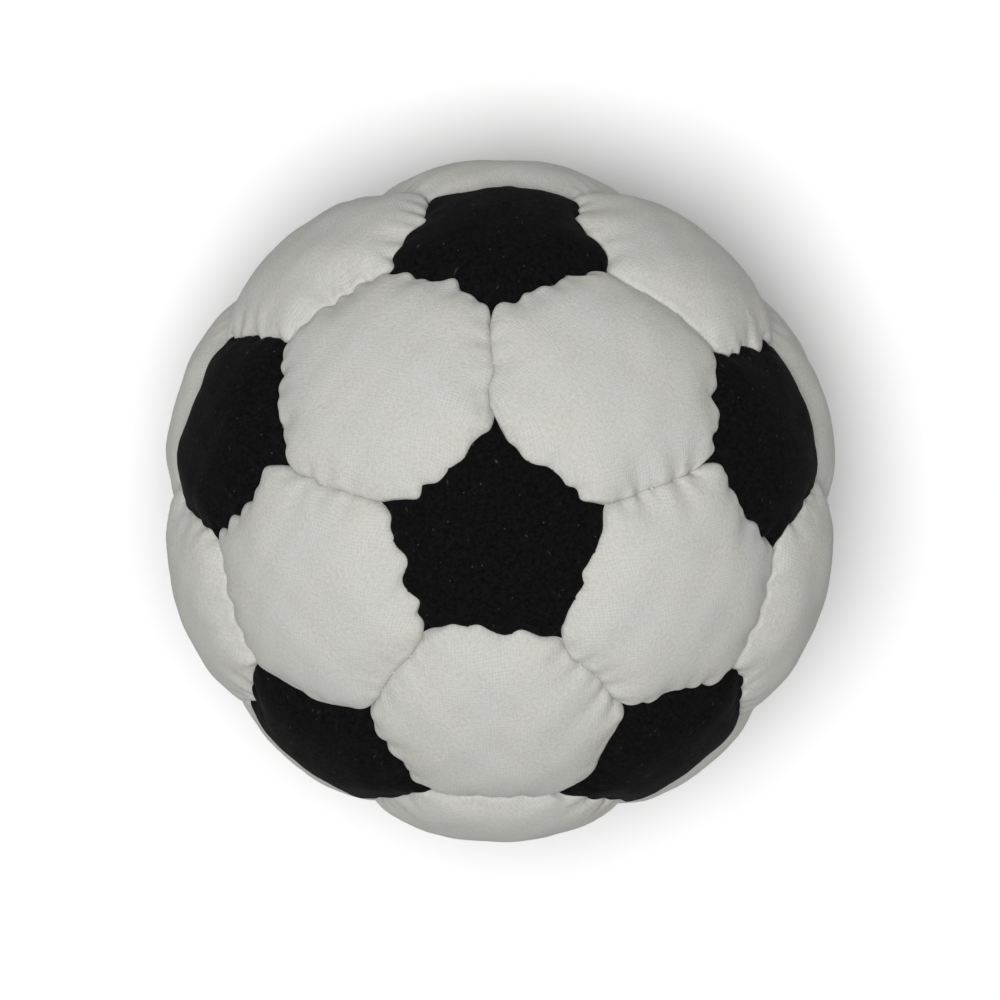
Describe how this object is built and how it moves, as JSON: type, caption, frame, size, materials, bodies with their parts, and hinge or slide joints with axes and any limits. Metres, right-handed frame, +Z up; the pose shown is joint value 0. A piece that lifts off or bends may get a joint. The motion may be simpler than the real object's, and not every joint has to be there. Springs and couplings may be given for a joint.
{
  "type": "soft kick ball",
  "caption": "Soft sewn kick and juggling ball of black pentagon and white hexagon suede panels, whip-stitched with turned-in seams and filled with loose plastic beads.",
  "frame": {"origin": "middle of the flat on the bottom pentagon that the ball stands on; the ball's centre is 27.6 mm above it", "axes": "+Z up through the middles of the bottom and top pentagons; +Y towards a corner of the top pentagon"},
  "size_m": [0.0556, 0.0566, 0.0561],
  "materials": {
    "white_suede": "matte",
    "black_suede": "matte",
    "white_thread": "satin",
    "black_thread": "satin",
    "filling": "satin"
  },
  "bodies": {
    "root": {"black_pentagon_bottom": "black_suede", "black_pentagon_lower_1": "black_suede", "black_pentagon_lower_2": "black_suede", "black_pentagon_lower_3": "black_suede", "black_pentagon_lower_4": "black_suede", "black_pentagon_lower_5": "black_suede", "black_pentagon_top": "black_suede", "black_pentagon_upper_1": "black_suede", "black_pentagon_upper_2": "black_suede", "black_pentagon_upper_3": "black_suede", "black_pentagon_upper_4": "black_suede", "black_pentagon_upper_5": "black_suede", "closing_thread": "white_thread", "filling_beads": "filling", "hexagon_thread_bottom": "white_thread", "hexagon_thread_lower": "white_thread", "hexagon_thread_middle": "white_thread", "hexagon_thread_top": "white_thread", "hexagon_thread_upper": "white_thread", "pentagon_thread_bottom": "black_thread", "pentagon_thread_lower_1": "black_thread", "pentagon_thread_lower_2": "black_thread", "pentagon_thread_lower_3": "black_thread", "pentagon_thread_lower_4": "black_thread", "pentagon_thread_lower_5": "black_thread", "pentagon_thread_top": "black_thread", "pentagon_thread_upper_1": "black_thread", "pentagon_thread_upper_2": "black_thread", "pentagon_thread_upper_3": "black_thread", "pentagon_thread_upper_4": "black_thread", "pentagon_thread_upper_5": "black_thread", "white_hexagon_bottom_1": "white_suede", "white_hexagon_bottom_2": "white_suede", "white_hexagon_bottom_3": "white_suede", "white_hexagon_bottom_4": "white_suede", "white_hexagon_bottom_5": "white_suede", "white_hexagon_lower_1": "white_suede", "white_hexagon_lower_2": "white_suede", "white_hexagon_lower_3": "white_suede", "white_hexagon_lower_4": "white_suede", "white_hexagon_lower_5": "white_suede", "white_hexagon_top_1": "white_suede", "white_hexagon_top_2": "white_suede", "white_hexagon_top_3": "white_suede", "white_hexagon_top_4": "white_suede", "white_hexagon_top_5": "white_suede", "white_hexagon_upper_1": "white_suede", "white_hexagon_upper_2": "white_suede", "white_hexagon_upper_3": "white_suede", "white_hexagon_upper_4": "white_suede", "white_hexagon_upper_5": "white_suede"}
  },
  "joints": []
}
